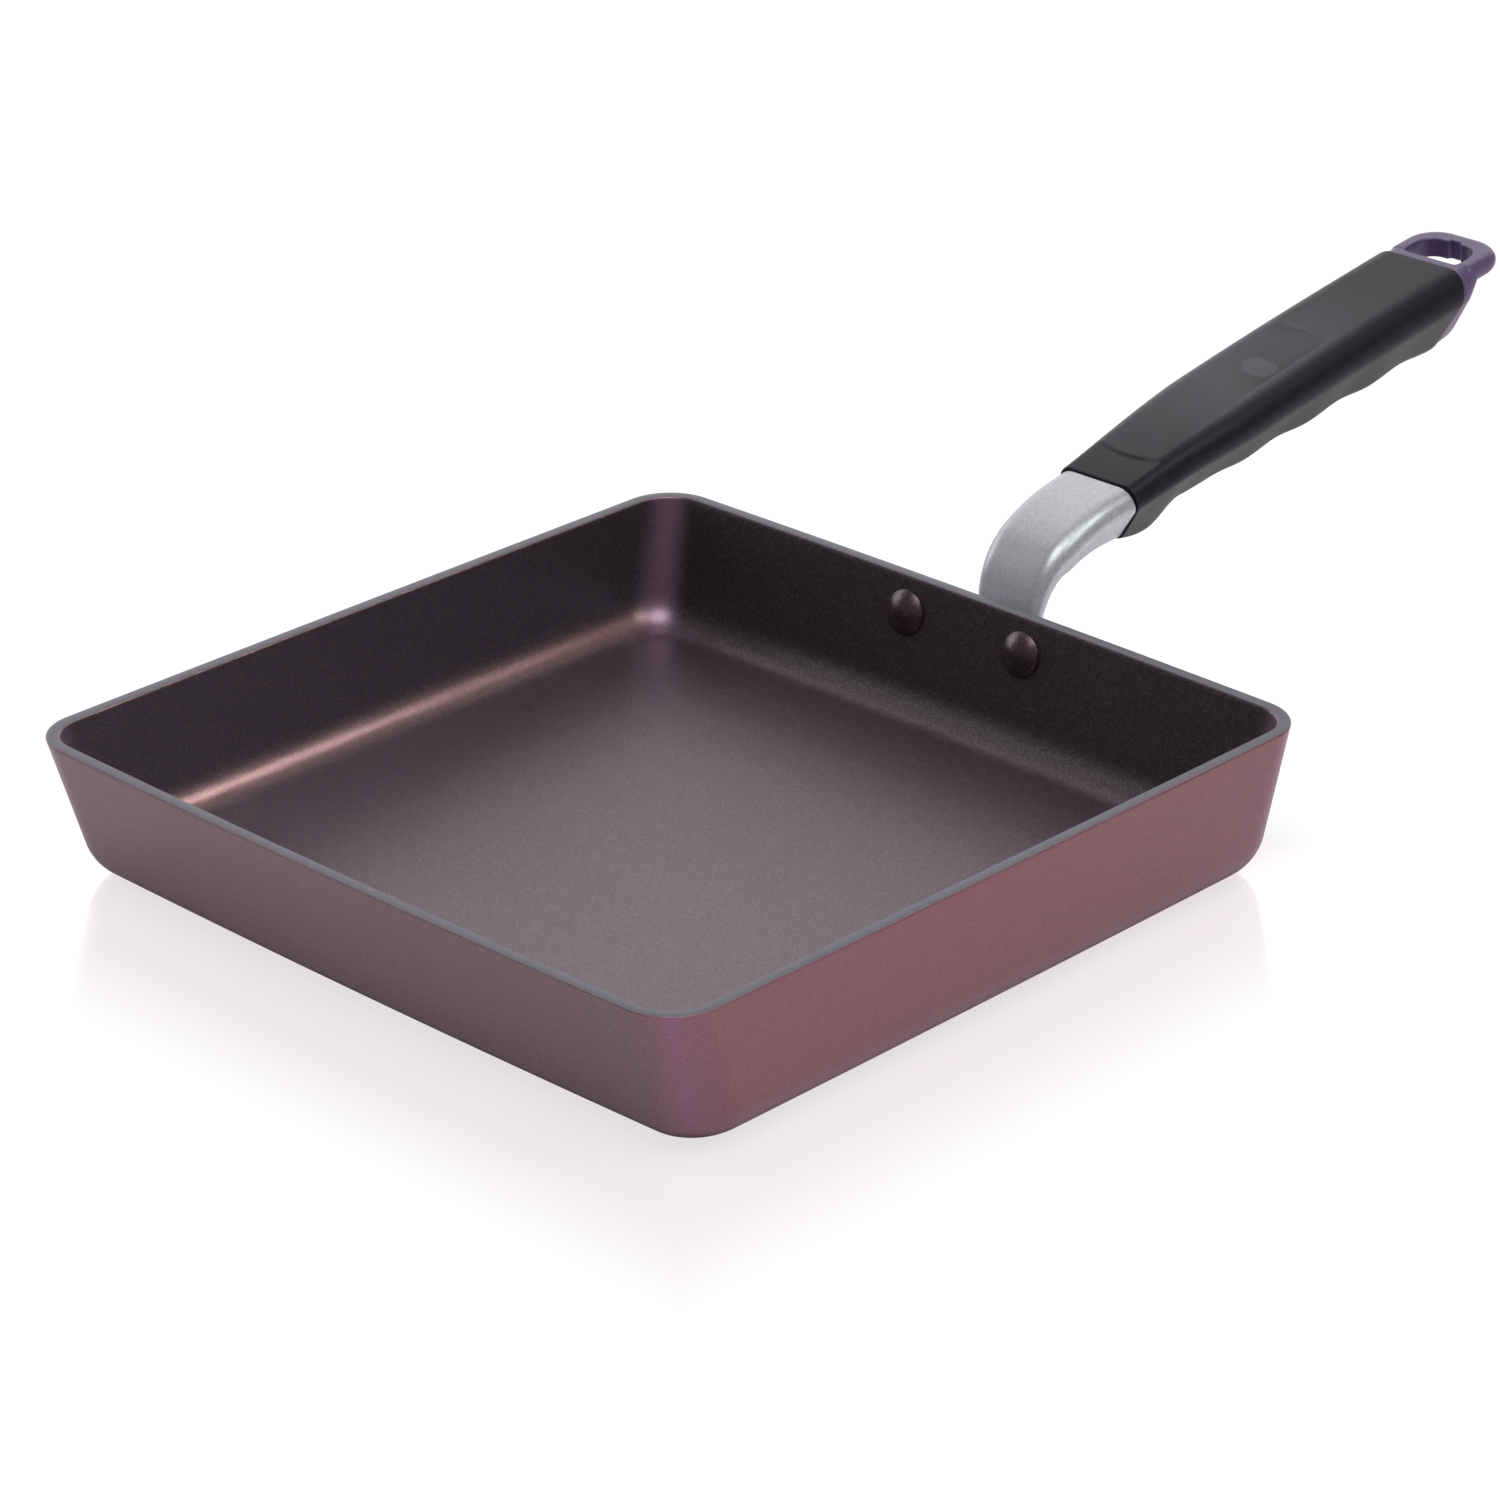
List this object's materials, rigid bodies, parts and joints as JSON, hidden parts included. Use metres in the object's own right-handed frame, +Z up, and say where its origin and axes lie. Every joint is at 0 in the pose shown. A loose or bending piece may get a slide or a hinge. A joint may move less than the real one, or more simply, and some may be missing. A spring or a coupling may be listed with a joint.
{
  "type": "tamagoyaki pan",
  "caption": "Square rolled-omelette pan with outward-leaning walls, a riveted gooseneck neck and a sculpted sleeved grip that ends in a hanging loop.",
  "frame": {"origin": "on the flat underside, under the middle of the rim", "axes": "+Z up, +X along the handle, +Y towards the left side wall when looking along the handle from the pan"},
  "size_m": [0.3828, 0.196, 0.0747],
  "materials": {
    "pan_coating": "satin",
    "neck_metal": "satin",
    "rivet_coating": "satin",
    "grip_black": "satin",
    "core_purple": "satin",
    "fastener_steel": "satin"
  },
  "bodies": {
    "root": {"pan_body": "pan_coating", "neck_bracket": "neck_metal", "flange_rivet_right": "rivet_coating", "flange_rivet_left": "rivet_coating", "handle_core": "core_purple", "grip_sleeve": "grip_black", "handle_screw": "fastener_steel", "handle_washer": "fastener_steel"}
  },
  "joints": []
}
